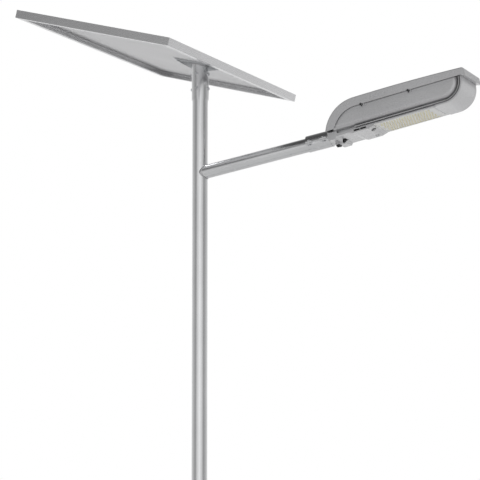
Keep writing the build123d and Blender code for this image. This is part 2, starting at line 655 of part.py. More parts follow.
def make_lid():
    ledge_z = TUB_TOP + 3
    shell = lid_shell()
    ledge = box(TUB_SHOULDER_X + 2, LID_TIP, -LID_HALF_WIDTH + 1, LID_HALF_WIDTH - 1,
                ledge_z, ledge_z + 3)
    ledge -= box(TUB_SHOULDER_X + 14, TUB_END - 14, -TUB_HALF_WIDTH + 8, TUB_HALF_WIDTH - 8, 0, 200)
    lip = box(NOSE_CENTRE_X + NOSE_RADIUS + 0.6, LID_TIP, -LID_HALF_WIDTH + 1, LID_HALF_WIDTH - 1,
              LID_PARTING - 10, ledge_z)
    lid = shell - lid_cavity() + ((ledge + lip) & shell) - swing_relief()
    notch = CLAMP_OUTER_RADIUS + 8
    lid -= box(0, NECK_END + 6, -notch, notch, -notch, notch + 4)
    for x in LATCH_POSITIONS:
        lid += latch_spot(x) * Pos(0, 0, -LID_WALL / 2) * Cylinder(LATCH_HEAD_RADIUS, LID_WALL)
    for x in LATCH_POSITIONS:
        lid -= latch_spot(x) * Cylinder(LATCH_DIAMETER / 2 + LATCH_FIT, 60)
    return HEAD_FRAME * (lid + lid_hinge_knuckles() - hinge_pin_space())


# ---- lamp head: hinge and latches --------------------------------------------------------


def knuckle(x0, x1, radius=HINGE_KNUCKLE_DIAMETER / 2):
    return Pos((x0 + x1) / 2, HINGE_Y, HINGE_Z) * Rot(0, 90, 0) * Cylinder(radius, x1 - x0)


def lid_hinge_knuckles():
    """The middle knuckle of each hinge, with a leaf up the lid's skirt."""
    pieces = None
    third = HINGE_WIDTH / 3
    for x in HINGE_X:
        eye = knuckle(x - third / 2, x + third / 2)
        eye += box(x - third / 2, x + third / 2, LID_HALF_WIDTH - 1, LID_HALF_WIDTH + 3,
                   HINGE_Z, HINGE_Z + 22)
        pieces = eye if pieces is None else pieces + eye
    return pieces


def make_tub_hinge_leaves():
    """The two outer knuckles of each hinge, on a leaf that runs down to the tub's side."""
    leaves = []
    third = HINGE_WIDTH / 3
    for x in HINGE_X:
        leaf = box(x - HINGE_WIDTH / 2, x + HINGE_WIDTH / 2, TUB_HALF_WIDTH, HINGE_Y,
                   HINGE_Z - 22, HINGE_Z - 18)
        for x0 in (x - HINGE_WIDTH / 2, x + third / 2 + GAP):
            x1 = x0 + third - GAP
            leaf += knuckle(x0, x1)
            leaf += box(x0, x1, HINGE_Y - 2, HINGE_Y + HINGE_KNUCKLE_DIAMETER / 2 - 1,
                        HINGE_Z - 22, HINGE_Z)
        leaf -= hinge_pin_space()
        leaves.append(HEAD_FRAME * leaf)
    return leaves


def hinge_pin_space():
    return knuckle(HINGE_X[0] - HINGE_WIDTH, HINGE_X[1] + HINGE_WIDTH,
                   HINGE_PIN_DIAMETER / 2 + 0.05)


def make_hinge_pins():
    pins = []
    for x in HINGE_X:
        pin = knuckle(x - HINGE_WIDTH / 2 - 3, x + HINGE_WIDTH / 2, HINGE_PIN_DIAMETER / 2)
        pin += knuckle(x - HINGE_WIDTH / 2 - 3, x - HINGE_WIDTH / 2 - 0.5, HINGE_PIN_DIAMETER / 2 + 1.5)
        pins.append(HEAD_FRAME * pin)
    return pins


def latch_spot(x):
    """Axis of a quarter-turn latch, pointing out of the lid's near side."""
    return Pos(x, -LID_HALF_WIDTH, LATCH_Z) * Rot(90, 0, 0)


def make_latch(x):
    """A slotted quarter-turn stud through an ear of the lid's skirt. Its cam hangs down when
    released, and turns under the tub's catch to lock."""
    cam_top = -LID_WALL - 1
    stud = Pos(0, 0, (GAP + cam_top) / 2) * Cylinder(LATCH_DIAMETER / 2, GAP - cam_top)
    head = Pos(0, 0, GAP + 1.5) * Cylinder(LATCH_HEAD_RADIUS, 3)
    head = chamfer(head.faces().sort_by(Axis.Z)[-1].edges(), 0.8)
    slot = Pos(0, 0, GAP + 3) * Box(LATCH_DIAMETER, 1.6, 2.4)
    cam = box(-CAM_WIDTH / 2, CAM_WIDTH / 2, -CAM_REACH, 0, cam_top - CAM_THICKNESS, cam_top)
    return HEAD_FRAME * latch_spot(x) * (head + stud + cam - slot)


def make_latch_catches():
    """Brackets on the tub's side, each with a shelf that a latch's cam turns under."""
    catches = []
    near = -LID_HALF_WIDTH + LID_WALL + 0.5
    side = -TUB_HALF_WIDTH
    foot_bottom = LATCH_Z - CAM_REACH
    shelf_bottom = LATCH_Z + CAM_WIDTH / 2 + GAP
    shelf_top = shelf_bottom + CATCH_THICKNESS
    for x in LATCH_POSITIONS:
        leg = x + CAM_REACH + 1
        catch = box(leg, leg + 4, near, side, foot_bottom, shelf_top)
        catch += box(leg - 7, leg + 4, near, side, shelf_bottom, shelf_top)
        catch += box(leg, leg + 14, side - 1.5, side, foot_bottom, TUB_TOP - 2)
        catches.append(HEAD_FRAME * catch)
    return catches


# ---- lamp head: tub and what it holds ----------------------------------------------------

def tub_outline(inset, top):
    """Side view of the tub: an upright heel, a quarter round, a flat floor and a round tip."""
    radius = TUB_RADIUS - inset
    back_radius = TUB_BACK_RADIUS - inset
    floor = NOSE_CENTRE_Z - radius
    heel_x = TUB_START + inset
    heel = (heel_x, BACK_CENTRE_Z + arc_height(back_radius, 0, BACK_CENTRE_X - heel_x))
    shoulder_x = BACK_CENTRE_X - arc_height(back_radius, BACK_CENTRE_Z, TUB_TOP)
    middle_x = (heel_x + shoulder_x) / 2
    middle = (middle_x, BACK_CENTRE_Z + arc_height(back_radius, 0, BACK_CENTRE_X - middle_x))
    end_x = NOSE_CENTRE_X + radius
    rise = [(shoulder_x, top)] if top > TUB_TOP else []
    bow = ThreePointArc((end_x, NOSE_CENTRE_Z),
                        (NOSE_CENTRE_X + radius * math.sqrt(0.5), NOSE_CENTRE_Z - radius * math.sqrt(0.5)),
                        (NOSE_CENTRE_X, floor))
    return [ThreePointArc(heel, middle, (shoulder_x, TUB_TOP)),
            Polyline((shoulder_x, TUB_TOP), *rise, (end_x, top), (end_x, NOSE_CENTRE_Z)),
            bow, Polyline((NOSE_CENTRE_X, floor), (heel_x, floor), heel)]


def round_tub(solid, inset):
    """Rounds the side edges along the floor and up the tip, of the tub or of its cavity."""
    edges = []
    for edge in solid.edges():
        middle = edge @ 0.5
        on_side = abs(abs(middle.Y) - TUB_HALF_WIDTH + inset) < 0.01
        along_floor = middle.Z < NOSE_CENTRE_Z and middle.X > BACK_CENTRE_X
        up_tip = abs(middle.X - TUB_END + inset) < 0.01
        if on_side and (along_floor or up_tip):
            edges.append(edge)
    return fillet(edges, TUB_ROUNDING - inset)


def make_tub():
    outer = round_tub(side_solid(TUB_HALF_WIDTH, *tub_outline(0, TUB_TOP)), 0)
    cavity = side_solid(TUB_HALF_WIDTH - TUB_WALL, *tub_outline(TUB_WALL, TUB_TOP + 20))
    return HEAD_FRAME * (outer - round_tub(cavity, TUB_WALL))


def make_gasket():
    z1 = TUB_TOP + 3 - GAP
    outer = box(TUB_SHOULDER_X, TUB_END, -TUB_HALF_WIDTH, TUB_HALF_WIDTH, TUB_TOP, z1)
    inner = box(TUB_SHOULDER_X + 3, TUB_END - 3, -TUB_HALF_WIDTH + 3, TUB_HALF_WIDTH - 3, TUB_TOP, z1)
    outer = fillet(outer.edges().filter_by(Axis.Z).sort_by(Axis.X)[-2:], TUB_ROUNDING)
    inner = fillet(inner.edges().filter_by(Axis.Z).sort_by(Axis.X)[-2:], TUB_ROUNDING - 3)
    return HEAD_FRAME * (outer - inner)


def make_battery():
    pack = box(BATTERY_START, BATTERY_START + BATTERY_LENGTH, -BATTERY_HALF_WIDTH,
               BATTERY_HALF_WIDTH, TUB_FLOOR, TUB_FLOOR + BATTERY_HEIGHT)
    return HEAD_FRAME * fillet(pack.edges(), 4)


def make_battery_straps():
    """Flat steel hoops over the battery, with feet on the tub's floor."""
    straps = []
    wide = 22.0
    thick = 1.5
    top = TUB_FLOOR + BATTERY_HEIGHT + 0.5
    side = BATTERY_HALF_WIDTH + 0.5
    for x in (BATTERY_START + 70, BATTERY_START + BATTERY_LENGTH - 70):
        strap = box(x - wide / 2, x + wide / 2, -side - thick, side + thick, top, top + thick)
        for sign in (-1, 1):
            inner, outer = sorted((sign * side, sign * (side + thick)))
            strap += box(x - wide / 2, x + wide / 2, inner, outer, TUB_FLOOR, top + thick)
            inner, outer = sorted((sign * side, sign * (side + STRAP_FOOT)))
            strap += box(x - wide / 2, x + wide / 2, inner, outer, TUB_FLOOR, TUB_FLOOR + thick)
        straps.append(HEAD_FRAME * strap)
    return straps


def make_controller():
    top = TUB_FLOOR + CONTROLLER_HEIGHT
    case = box(CONTROLLER_START, CONTROLLER_END, -CONTROLLER_HALF_WIDTH, CONTROLLER_HALF_WIDTH,
               TUB_FLOOR, top)
    case = fillet(case.edges().filter_by(Axis.Z), 5)
    for spot in GridLocations(0, CONTROLLER_GROOVE_PITCH, 1, 9):
        groove = box(CONTROLLER_START + 6, CONTROLLER_END - 6, -2, 2, top - 6, top + 8)
        case -= spot * groove
    return HEAD_FRAME * case


# ---- lamp head: heat sink, base casting and light ----------------------------------------

def bow_band(outer_radius, thickness, start_x, end_z, half_width):
    """A plate that lies under the head and curls up round its tip: start_x is its pole end and
    end_z its top at the tip."""
    inner_radius = outer_radius - thickness
    half = math.sqrt(0.5)
    outer = ThreePointArc((NOSE_CENTRE_X + outer_radius, NOSE_CENTRE_Z),
                          (NOSE_CENTRE_X + outer_radius * half, NOSE_CENTRE_Z - outer_radius * half),
                          (NOSE_CENTRE_X, NOSE_CENTRE_Z - outer_radius))
    inner = ThreePointArc((NOSE_CENTRE_X, NOSE_CENTRE_Z - inner_radius),
                          (NOSE_CENTRE_X + inner_radius * half, NOSE_CENTRE_Z - inner_radius * half),
                          (NOSE_CENTRE_X + inner_radius, NOSE_CENTRE_Z))
    floor = Polyline((NOSE_CENTRE_X, NOSE_CENTRE_Z - outer_radius),
                     (start_x, NOSE_CENTRE_Z - outer_radius), (start_x, NOSE_CENTRE_Z - inner_radius),
                     (NOSE_CENTRE_X, NOSE_CENTRE_Z - inner_radius))
    tip = Polyline((NOSE_CENTRE_X + inner_radius, NOSE_CENTRE_Z), (NOSE_CENTRE_X + inner_radius, end_z),
                   (NOSE_CENTRE_X + outer_radius, end_z), (NOSE_CENTRE_X + outer_radius, NOSE_CENTRE_Z))
    return side_solid(half_width, outer, floor, inner, tip)


def make_heat_sink():
    """A cooling fin that curls round the tip, and the ribs that join it to the base and tub."""
    sink = bow_band(FIN_OUTER_RADIUS, FIN_THICKNESS, FIN_START, NOSE_CENTRE_Z + 4, FIN_HALF_WIDTH)
    clear = UPSTAND_HALF_WIDTH + 0.5
    sink -= box(FIN_START - 1, BOX_END + 3, -clear, clear, BASE_TOP, TUB_BOTTOM)
    for y in RIB_Y:
        sink += box(BOX_END + 4, NOSE_CENTRE_X, y - 2, y + 2, BASE_TOP, TUB_BOTTOM)
    return HEAD_FRAME * sink


def make_base_casting():
    """The casting under the head: neck, waist, sensor box and LED seat in one, with a narrower
    upstand to the tub that leaves a deep groove on each side."""
    lower = Polyline(
        (LED_END + 14, NOSE_BOTTOM), (LED_END + 0.5, NOSE_BOTTOM), (LED_END + 0.5, LED_SEAT),
        (BOX_END, LED_SEAT), (BOX_END, NOSE_BOTTOM), (BOX_FLOOR_END, BOX_BOTTOM),
        (BOX_FLOOR_START, BOX_BOTTOM), (BOX_START, WAIST_BOTTOM), (NECK_END + 8, WAIST_BOTTOM),
        (NECK_END, NECK_BOTTOM), (NECK_START, NECK_BOTTOM), (NECK_START, NECK_TOP),
        (NECK_END + 12, NECK_TOP), (NECK_END + 12, BASE_TOP), (LED_END + 14, BASE_TOP), close=True)
    casting = side_solid(BASE_HALF_WIDTH, lower)
    casting = fillet([e for e in casting.edges() if abs(abs(e.center().Y) - BASE_HALF_WIDTH) < 0.01
                      and e.center().X < NECK_END and e.center().Z < NECK_TOP - 1], 3)
    casting += box(NECK_END + 11, BOX_END + 2, -UPSTAND_HALF_WIDTH, UPSTAND_HALF_WIDTH,
                   BASE_TOP - 1, NECK_TOP)
    roof = BASE_TOP - BASE_WALL
    casting -= side_solid(BASE_HALF_WIDTH - BASE_WALL, Polyline(
        (BOX_END - 12, roof), (BOX_FLOOR_END, BOX_BOTTOM + BASE_WALL),
        (BOX_FLOOR_START, BOX_BOTTOM + BASE_WALL), (BOX_START, WAIST_BOTTOM + BASE_WALL),
        (NECK_END + 16, WAIST_BOTTOM + BASE_WALL), (NECK_END + 16, roof), close=True))
    inside = UPSTAND_HALF_WIDTH - BASE_WALL
    casting -= box(NECK_END + 16, BOX_END - 4, -inside, inside, roof - 1, TUB_BOTTOM + 2)
    for y in (-BASE_HALF_WIDTH + 2, BASE_HALF_WIDTH - 2):
        casting += box(NECK_END + 8, NECK_END + 12, y - 2, y + 2, WAIST_BOTTOM, NECK_TOP)
    casting += along_arm(NECK_START, NECK_END, CLAMP_OUTER_RADIUS + 2, CLAMP_OFFSET)
    slot = box(-BOX_SLOT_LENGTH / 2, BOX_SLOT_LENGTH / 2, -LID_HALF_WIDTH, LID_HALF_WIDTH, *BOX_SLOT_Z)
    middle = Pos(BOX_SLOT_X, 0, 0)
    for spot in GridLocations(BOX_SLOT_PITCH, 0, BOX_SLOT_COUNT, 1):
        casting -= middle * spot * slot
    for spot, radius in ((GLAND_SPOT, GLAND_RADIUS), (VENT_SPOT, VENT_RADIUS)):
        casting += spot * Pos(0, 0, -PAD_DEPTH / 2) * Cylinder(radius + PAD_MARGIN, PAD_DEPTH)
        casting -= spot * Pos(0, 0, -BASE_WALL) * Cylinder(radius, 4 * BASE_WALL)
    casting -= BUTTON_SPOT * Cylinder(BUTTON_RADIUS + 2, 3 * BASE_WALL)
    return HEAD_FRAME * casting - make_spigot_space()


def make_spigot_space():
    return ARM_FRAME * along_arm(HEAD_START, HEAD_START + NECK_END + 20, ARM_RADIUS)


def make_spigot():
    """A tube as thick as the arm, fixed in the neck, which the clamp couples to the arm. The
    gland's lead enters it from below."""
    start = ARM_LENGTH + 3
    end = HEAD_START + NECK_END - 2
    tube = along_arm(start, end, ARM_RADIUS) - along_arm(start - 1, end + 1, ARM_RADIUS - ARM_WALL)
    lead_hole = Pos(0, 0, -PAD_DEPTH) * Cylinder(GLAND_RADIUS - 1, 2 * PAD_DEPTH)
    return ARM_FRAME * tube - HEAD_FRAME * GLAND_SPOT * lead_hole


def make_nose():
    nose = bow_band(NOSE_RADIUS, NOSE_WALL, LED_END + 14, LID_PARTING + 2, NOSE_HALF_WIDTH)
    return HEAD_FRAME * nose


def make_led_board():
    return HEAD_FRAME * box(LED_START, LED_END, -LED_HALF_WIDTH, LED_HALF_WIDTH,
                            LED_SEAT - BOARD_THICKNESS, LED_SEAT)


def make_leds():
    """LED packages in rows, with every second row moved by half a pitch."""
    usable_x = LED_END - BEZEL_TIP_BORDER - LED_START - BEZEL_BORDER
    usable_y = 2 * (LED_HALF_WIDTH - BEZEL_BORDER)
    columns = int((usable_x - LED_SIZE_X * 2) // LED_PITCH_X)
    rows = int((usable_y - LED_SIZE_Y) // LED_PITCH_Y) + 1
    z1 = LED_SEAT - BOARD_THICKNESS
    x_first = LED_START + BEZEL_BORDER + (usable_x - (columns - 0.5) * LED_PITCH_X) / 2
    y_first = -(rows - 1) * LED_PITCH_Y / 2
    leds = []
    for row in range(rows):
        for column in range(columns):
            x = x_first + (column + 0.5 * (row % 2)) * LED_PITCH_X
            y = y_first + row * LED_PITCH_Y
            leds.append(HEAD_FRAME * Pos(x, y, z1 - LED_HEIGHT / 2)
                        * Box(LED_SIZE_X, LED_SIZE_Y, LED_HEIGHT))
    return leds


def make_bezel():
    z1 = LED_SEAT - BOARD_THICKNESS
    frame = box(LED_START, LED_END, -LED_HALF_WIDTH, LED_HALF_WIDTH, z1 - BEZEL_THICKNESS, z1)
    frame = chamfer(frame.faces().sort_by(Axis.Z)[0].edges(), 1)
    frame -= box(LED_START + BEZEL_BORDER, LED_END - BEZEL_TIP_BORDER, -LED_HALF_WIDTH + BEZEL_BORDER,
                 LED_HALF_WIDTH - BEZEL_BORDER, z1 - 20, z1 + 1)
    return HEAD_FRAME * frame


def sensor_frame():
    """The sensor sits on the slope between the box's floor and the LED seat; +Z is out."""
    slope = math.degrees(math.atan2(NOSE_BOTTOM - BOX_BOTTOM, BOX_END - BOX_FLOOR_END))
    rise = (SENSOR_X - BOX_FLOOR_END) * math.tan(math.radians(slope))
    return Pos(SENSOR_X, SENSOR_Y, BOX_BOTTOM + rise) * Rot(0, -slope, 0) * Rot(180, 0, 0)


def make_sensor_housing():
    """A rounded block whose lens looks out near one end."""
    block = Pos(0, SENSOR_HOUSING_LENGTH / 2 - SENSOR_LENS_RADIUS - 5, SENSOR_HOUSING_HEIGHT / 2) * Box(
        SENSOR_HOUSING_WIDTH, SENSOR_HOUSING_LENGTH, SENSOR_HOUSING_HEIGHT)
    block = fillet(block.edges().filter_by(Axis.Z), 11)
    block = fillet(block.faces().sort_by(Axis.Z)[-1].edges(), 2.5)
    return HEAD_FRAME * sensor_frame() * (block - Cylinder(SENSOR_LENS_RADIUS, 40))


def make_sensor_lens():
    collar = Pos(0, 0, SENSOR_HOUSING_HEIGHT / 2) * Cylinder(SENSOR_LENS_RADIUS, SENSOR_HOUSING_HEIGHT)
    dome = Sphere(SENSOR_LENS_RADIUS) & box(-30, 30, -30, 30, 0, 5)
    return HEAD_FRAME * sensor_frame() * (collar + Pos(0, 0, SENSOR_HOUSING_HEIGHT) * dome)


def make_button_collar():
    """The threaded collar of the on-off button; +Z of its spot is down, out of the floor."""
    collar = Pos(0, 0, 1.5) * Cylinder(BUTTON_RADIUS + 4, 3)
    collar = chamfer(collar.faces().sort_by(Axis.Z)[-1].edges(), 0.8)
    collar += Pos(0, 0, -5) * Cylinder(BUTTON_RADIUS + 2, 10)
    return HEAD_FRAME * BUTTON_SPOT * (collar - Cylinder(BUTTON_RADIUS + GAP, 60))


def make_button():
    cap = Cylinder(BUTTON_RADIUS, 10)
    cap = fillet(cap.faces().sort_by(Axis.Z)[-1].edges(), 1)
    return HEAD_FRAME * BUTTON_SPOT * cap


def make_cable_gland():
    """A capped gland under the neck, for the lead that comes down from the module."""
    body = Cylinder(GLAND_RADIUS, 2 * BASE_WALL)
    nut = extrude(RegularPolygon(GLAND_RADIUS + 2.5, 6, major_radius=False), amount=6)
    dome = Pos(0, 0, 9) * Cylinder(GLAND_RADIUS + 1, 6)
    dome = fillet(dome.faces().sort_by(Axis.Z)[-1].edges(), 3)
    return HEAD_FRAME * GLAND_SPOT * (body + nut + dome)


def make_vent():
    body = Cylinder(VENT_RADIUS, 2 * BASE_WALL)
    cap = Pos(0, 0, 3) * Cylinder(VENT_RADIUS + 3, 6)
    cap = fillet(cap.faces().sort_by(Axis.Z)[-1].edges(), 1.5)
    return HEAD_FRAME * VENT_SPOT * (body + cap)


def make_driver():
    """The LED driver's case, on the floor of the sensor box."""
    floor = BOX_BOTTOM + BASE_WALL
    case = box(BOX_FLOOR_START + 4, BOX_FLOOR_END - 4, -DRIVER_HALF_WIDTH, DRIVER_HALF_WIDTH,
               floor, floor + DRIVER_HEIGHT)
    return HEAD_FRAME * fillet(case.edges().filter_by(Axis.Z), 3)


def add(name, shape):
    parts[name] = shape


def post_parts():
    add("base_plate", make_base_plate())
    add("base_gussets", make_base_gussets())
    add("base_weld", make_base_weld())
    add("pole_tube", make_pole())
    add("arm_tube", make_arm())
    add("arm_weld", make_arm_weld())


def sleeve_parts():
    add("pole_top_sleeve", make_sleeve())
    add("sleeve_set_screws", make_set_screws())
    add("saddle_plate", make_saddle())
    add("saddle_gussets", make_saddle_gussets())
    add("sleeve_weld", make_sleeve_weld())
    add("saddle_bolts", make_saddle_bolts())


def head_parts():
    add("clamp_upper_half", make_clamp_half(True))
    add("clamp_lower_half", make_clamp_half(False))
    add("clamp_bolts", make_clamp_bolts())
    add("lid", make_lid())
    add("lid_hinge_leaves", make_tub_hinge_leaves())
    add("lid_hinge_pins", make_hinge_pins())
    for number, x in enumerate(LATCH_POSITIONS, 1):
        add("lid_latch_%d" % number, make_latch(x))
    add("latch_catches", make_latch_catches())
    add("battery_tub", make_tub())
    add("lid_gasket", make_gasket())
    add("battery_pack", make_battery())
    add("battery_straps", make_battery_straps())
    add("charge_controller", make_controller())
    add("heat_sink", make_heat_sink())
    add("base_casting", make_base_casting())
    add("nose_casting", make_nose())
    add("led_board", make_led_board())
    add("led_chips", make_leds())
    add("led_bezel", make_bezel())
    add("sensor_housing", make_sensor_housing())
    add("sensor_lens", make_sensor_lens())
    add("led_driver", make_driver())
    add("head_spigot", make_spigot())
    add("power_button_collar", make_button_collar())
    add("power_button", make_button())
    add("cable_gland", make_cable_gland())
    add("breather_vent", make_vent())


post_parts()
sleeve_parts()
module_parts()
head_parts()

os.makedirs("parts", exist_ok=True)
for name, shape in parts.items():
    if isinstance(shape, list):
        shape = Compound(children=[s for item in shape for s in item.solids()])
    export_step(shape, "parts/%s.step" % name)
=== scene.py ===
import math
import bmesh
import bpy
from mathutils import Matrix, Vector


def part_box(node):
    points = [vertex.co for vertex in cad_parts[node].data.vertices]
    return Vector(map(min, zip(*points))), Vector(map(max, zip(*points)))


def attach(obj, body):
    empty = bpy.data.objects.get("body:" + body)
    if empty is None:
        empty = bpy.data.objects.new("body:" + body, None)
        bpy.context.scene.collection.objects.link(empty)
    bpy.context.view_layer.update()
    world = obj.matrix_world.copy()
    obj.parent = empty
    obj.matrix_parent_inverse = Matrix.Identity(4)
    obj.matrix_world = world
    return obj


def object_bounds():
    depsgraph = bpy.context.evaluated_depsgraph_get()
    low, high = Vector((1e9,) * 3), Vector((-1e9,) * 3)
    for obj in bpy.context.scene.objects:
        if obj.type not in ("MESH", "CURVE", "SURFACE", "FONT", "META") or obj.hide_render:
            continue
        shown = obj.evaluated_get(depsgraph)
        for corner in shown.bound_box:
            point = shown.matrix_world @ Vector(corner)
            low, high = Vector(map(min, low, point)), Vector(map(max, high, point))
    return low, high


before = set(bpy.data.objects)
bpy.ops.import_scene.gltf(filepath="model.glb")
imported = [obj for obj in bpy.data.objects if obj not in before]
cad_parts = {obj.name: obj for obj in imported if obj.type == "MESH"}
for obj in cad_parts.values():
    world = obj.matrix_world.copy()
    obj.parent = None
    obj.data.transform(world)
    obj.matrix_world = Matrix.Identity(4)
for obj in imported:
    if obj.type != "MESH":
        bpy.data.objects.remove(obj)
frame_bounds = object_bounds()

# ---- camera: where it stands and how it looks, in metres and degrees ----------------------
CAMERA_PLACE = (3.483, -7.780, 2.317)
CAMERA_TURN = 22.80            # from looking along +Y towards -X
CAMERA_PITCH = 5.40            # upwards
CAMERA_LENS = 131.4            # millimetres, on a 36 mm sensor

# ---- studio -------------------------------------------------------------------------------
FLOOR_RADIUS = 9.0
FLOOR_CORNERS = 128
FLOOR_DROP = 0.002             # under the base plate
SUN_STRENGTH = 1.7
SUN_SOFTNESS = 35.0            # degrees
SUN_TURN = (12.0, 28.0)        # degrees about X and Y, from straight down
WORLD_STRENGTH = 1.0
BACKDROP = 1.0
STEEPEST = 0.0001              # keeps the division safe straight up and straight down

# Brightness of the studio all round, by the cosine of the angle from the camera's side: white
# behind the object, a dark flag on each side and a softbox behind the camera.
SURROUND = (
    (-1.00, 0.95),
    (-0.80, 0.85),
    (-0.34, 0.60),
    (0.03, 0.52),
    (0.36, 0.36),
    (0.60, 0.42),
    (0.80, 0.76),
    (0.96, 0.90),
    (1.00, 1.08),
)
# Brightness by height: pale floor, bright level, dark ceiling.
HEIGHTS = (
    (-1.00, 0.84),
    (-0.20, 0.92),
    (0.00, 1.00),
    (0.12, 0.95),
    (0.30, 0.55),
    (0.60, 0.25),
    (1.00, 0.10),
)

# Slopes of the module and of the lamp head, as in the part's source.
MODULE_TILT = math.radians(14.0)
HEAD_RAKE = math.radians(12.1)

# ---- small pieces that are made here ------------------------------------------------------
RIBBON_WIDTH = 0.0016
RIBBON_THICKNESS = 0.00015
RIBBONS_PER_CELL = 3
CELL_ROWS = 6
LED_DOME_RADIUS = 0.0023
LED_DOME_HEIGHT = 0.0011
LED_PACKAGE_HEIGHT = 0.0014

# ---- surfaces -----------------------------------------------------------------------------
BUMP_STRENGTH = 0.35
LINE_STRETCH = 0.02            # how far drawn or extruded lines are pulled out along a piece
SHARP_EDGE = 0.80              # agreement of rounded and true normal on a fully worn edge
FLAT_FACE = 0.995              # and where wear ends
WORN_ALUMINIUM = (0.74, 0.74, 0.75)


# ---- material building blocks -------------------------------------------------------------

class Shader:
    """One material's node tree, with short calls for the nodes that most surfaces share."""

    def __init__(self, name, color, metallic=0.0, roughness=0.4, **sockets):
        self.material = bpy.data.materials.new(name)
        self.material.use_nodes = True
        self.tree = self.material.node_tree
        self.surface = self.tree.nodes["Principled BSDF"]
        self.color = color
        self.set("Base Color", (*color, 1.0))
        self.set("Metallic", metallic)
        self.set("Roughness", roughness)
        for socket, value in sockets.items():
            self.set(socket.replace("_", " "), value)

    def set(self, socket, value):
        self.surface.inputs[socket].default_value = value

    def node(self, kind, **values):
        made = self.tree.nodes.new("ShaderNode" + kind)
        for name, value in values.items():
            setattr(made, name, value)
        return made

    def link(self, start, end):
        self.tree.links.new(start, end)

    def noise(self, scale, stretch=(1, 1, 1), tilt=0.0, detail=4.0):
        """Noise in the object's own space, stretched along its axes after a turn about Y."""
        place = self.node("TexCoord")
        turned = self.node("Mapping")
        turned.inputs["Rotation"].default_value = (0.0, tilt, 0.0)
        scaled = self.node("Mapping")
        scaled.inputs["Scale"].default_value = stretch
        noise = self.node("TexNoise")
        noise.inputs["Scale"].default_value = scale
        noise.inputs["Detail"].default_value = detail
        self.link(place.outputs["Object"], turned.inputs["Vector"])
        self.link(turned.outputs["Vector"], scaled.inputs["Vector"])
        self.link(scaled.outputs["Vector"], noise.inputs["Vector"])
        return noise.outputs["Fac"]

    def spread(self, source, low, high, start=0.3, end=0.7):
        """A source's range from start to end, mapped onto low to high."""
        ranged = self.node("MapRange")
        ranged.inputs["From Min"].default_value = start
        ranged.inputs["From Max"].default_value = end
        ranged.inputs["To Min"].default_value = low
        ranged.inputs["To Max"].default_value = high
        self.link(source, ranged.inputs["Value"])
        return ranged.outputs["Result"]

    def mix(self, factor, low, high):
        """A colour between two, each given as a colour or as a socket."""
        mixed = self.node("Mix", data_type="RGBA")
        colors = [s for s in mixed.inputs if s.type == "RGBA"]
        for socket, value in zip(colors, (low, high)):
            if isinstance(value, tuple):
                socket.default_value = (*value, 1.0)
            else:
                self.link(value, socket)
        self.link(factor, mixed.inputs["Factor"])
        return next(s for s in mixed.outputs if s.type == "RGBA")

    def edges(self, radius):
        """Gives the rounded normal, and a mask that is 1 on worn edges and 0 on flat faces."""
        bevel = self.node("Bevel", samples=4)
        bevel.inputs["Radius"].default_value = radius
        flat = self.node("NewGeometry")
        same = self.node("VectorMath", operation="DOT_PRODUCT")
        self.link(bevel.outputs["Normal"], same.inputs[0])
        self.link(flat.outputs["Normal"], same.inputs[1])
        mask = self.spread(same.outputs["Value"], 1.0, 0.0, SHARP_EDGE, FLAT_FACE)
        return bevel.outputs["Normal"], mask

    def finish(self, mottle, grain, shade, vary, relief, edge=0.0006, worn=None):
        """Mottled colour, uneven roughness, fine relief and worn edges on one surface."""
        dark = tuple(c * (1 - shade) for c in self.color)
        light = tuple(min(1.0, c * (1 + shade)) for c in self.color)
        color = self.mix(self.spread(mottle, 0.0, 1.0), dark, light)
        normal, mask = self.edges(edge)
        if worn:
            color = self.mix(self.spread(mask, 0.0, 0.5, 0.0, 1.0), color, worn)
        self.link(color, self.surface.inputs["Base Color"])
        rough = self.surface.inputs["Roughness"].default_value
        self.link(self.spread(grain, rough * (1 - vary), rough * (1 + vary)),
                  self.surface.inputs["Roughness"])
        bump = self.node("Bump")
        bump.inputs["Strength"].default_value = BUMP_STRENGTH
        bump.inputs["Distance"].default_value = relief
        self.link(grain, bump.inputs["Height"])
        self.link(normal, bump.inputs["Normal"])
        self.link(bump.outputs["Normal"], self.surface.inputs["Normal"])
        return self.material


# ---- materials ----------------------------------------------------------------------------

def lines_along(axis):
    """Stretch that pulls a noise out into lines along one axis."""
    return tuple(LINE_STRETCH if other == axis else 1.0 for other in "XYZ")


def drawn_steel(name, along, tilt=0.0):
    """Zinc-coated tube with fine draw lines along its length."""
    steel = Shader(name, (0.76, 0.765, 0.775), 1.0, 0.20)
    return steel.finish(steel.noise(3.5), steel.noise(420, lines_along(along), tilt), 0.05, 0.30, 0.00004,
                        worn=(0.84, 0.84, 0.85))


def plate_steel():
    """Zinc-coated plate: cloudy, with a faint spangle."""
    steel = Shader("galvanised_plate", (0.58, 0.59, 0.60), 1.0, 0.34)
    return steel.finish(steel.noise(26), steel.noise(160), 0.09, 0.28, 0.00008,
                        worn=WORN_ALUMINIUM)


def weld_bead():
    bead = Shader("weld_bead", (0.52, 0.52, 0.53), 1.0, 0.42)
    return bead.finish(bead.noise(70), bead.noise(300), 0.16, 0.3, 0.0006)


def zinc_bolt():
    bolt = Shader("zinc_bolt", (0.60, 0.61, 0.63), 1.0, 0.30)
    return bolt.finish(bolt.noise(120), bolt.noise(900), 0.10, 0.3, 0.00004, edge=0.0004,
                       worn=(0.8, 0.8, 0.8))


def anodised(name, along):
    """Satin anodised extrusion, with the die's lines along it."""
    skin = Shader(name, (0.66, 0.66, 0.67), 0.9, 0.27)
    return skin.finish(skin.noise(4), skin.noise(500, lines_along(along), MODULE_TILT), 0.04,
                       0.22, 0.00003, worn=WORN_ALUMINIUM)


